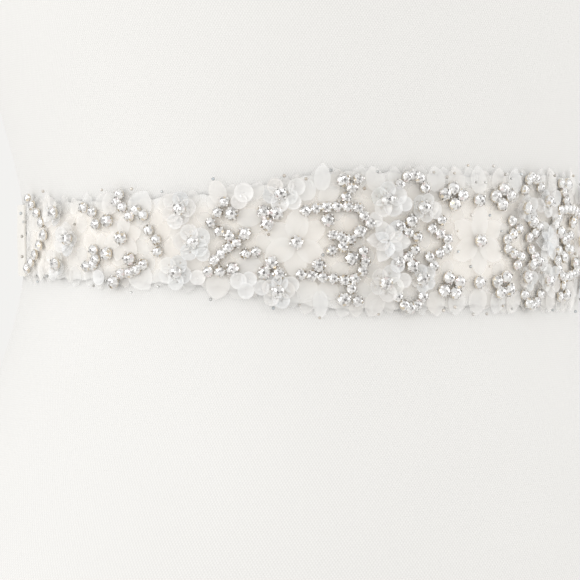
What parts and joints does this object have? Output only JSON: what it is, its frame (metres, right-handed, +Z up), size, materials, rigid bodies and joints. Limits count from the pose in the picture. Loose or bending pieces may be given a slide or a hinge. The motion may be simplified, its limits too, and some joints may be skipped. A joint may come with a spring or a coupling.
{
  "type": "bridal sash on a dress form",
  "caption": "Beaded bridal sash with a ribbon bow at the back, worn round the waist of a limbless jersey-covered dress form.",
  "frame": {"origin": "on the floor under the dress form's axis", "axes": "+Z up the form; the chest and the sash's front centre face -Y; +X is the wearer's left"},
  "size_m": [0.3476, 0.2563, 0.7103],
  "materials": {
    "white_jersey": "fine white knit jersey",
    "cap_white": "matte white",
    "ivory_beadwork": "ivory tulle covered with clear stones, frosted petals and sequins",
    "ivory_satin": "ivory satin ribbon"
  },
  "bodies": {
    "root": {"form_torso": "white_jersey", "form_neck_cap": "cap_white", "beaded_panel": "ivory_beadwork", "ribbon_back_right": "ivory_satin", "ribbon_back_left": "ivory_satin", "ribbon_knot": "ivory_satin", "bow_loop_right": "ivory_satin", "bow_loop_left": "ivory_satin", "bow_tail_right": "ivory_satin", "bow_tail_left": "ivory_satin"}
  },
  "joints": []
}
